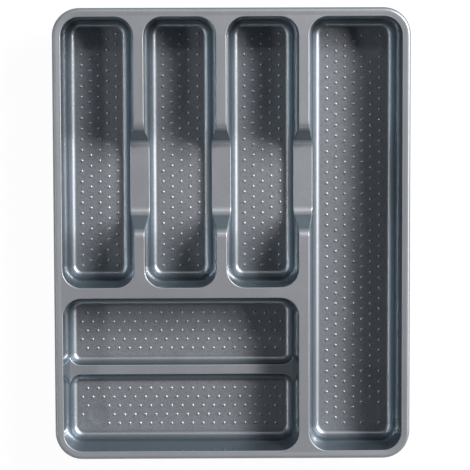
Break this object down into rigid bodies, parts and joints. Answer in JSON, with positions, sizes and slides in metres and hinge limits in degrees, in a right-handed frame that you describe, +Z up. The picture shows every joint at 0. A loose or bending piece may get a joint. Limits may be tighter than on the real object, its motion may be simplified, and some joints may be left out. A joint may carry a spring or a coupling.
{
  "type": "cutlery tray",
  "caption": "Moulded grey plastic cutlery tray for a drawer, with rounded wells, finger dips in the dividers and grip pips on the floors.",
  "frame": {"origin": "under the middle of the tray's outline, on the surface that its feet stand on", "axes": "+X across the tray towards the long well, +Y from the front (cross wells) to the back, +Z up"},
  "size_m": [0.315, 0.4, 0.045],
  "materials": {
    "grey_plastic": "glossy silver-grey moulding with a fine metallic fleck"
  },
  "bodies": {
    "root": {"cross_well_wall": "grey_plastic", "crossbar": "grey_plastic", "foot_back_left": "grey_plastic", "foot_back_right": "grey_plastic", "foot_front_left": "grey_plastic", "foot_front_right": "grey_plastic", "front_cross_basin_wall": "grey_plastic", "front_cross_floor": "grey_plastic", "front_divider_cap": "grey_plastic", "left_divider_cap": "grey_plastic", "left_finger_dip": "grey_plastic", "left_well_floor": "grey_plastic", "left_well_wall": "grey_plastic", "long_well_floor": "grey_plastic", "long_well_wall": "grey_plastic", "low_divider": "grey_plastic", "middle_divider_cap": "grey_plastic", "middle_finger_dip": "grey_plastic", "middle_well_floor": "grey_plastic", "middle_well_wall": "grey_plastic", "rear_cross_basin_wall": "grey_plastic", "rear_cross_floor": "grey_plastic", "right_divider_cap": "grey_plastic", "right_finger_dip": "grey_plastic", "right_well_floor": "grey_plastic", "right_well_wall": "grey_plastic", "rim": "grey_plastic"}
  },
  "joints": []
}
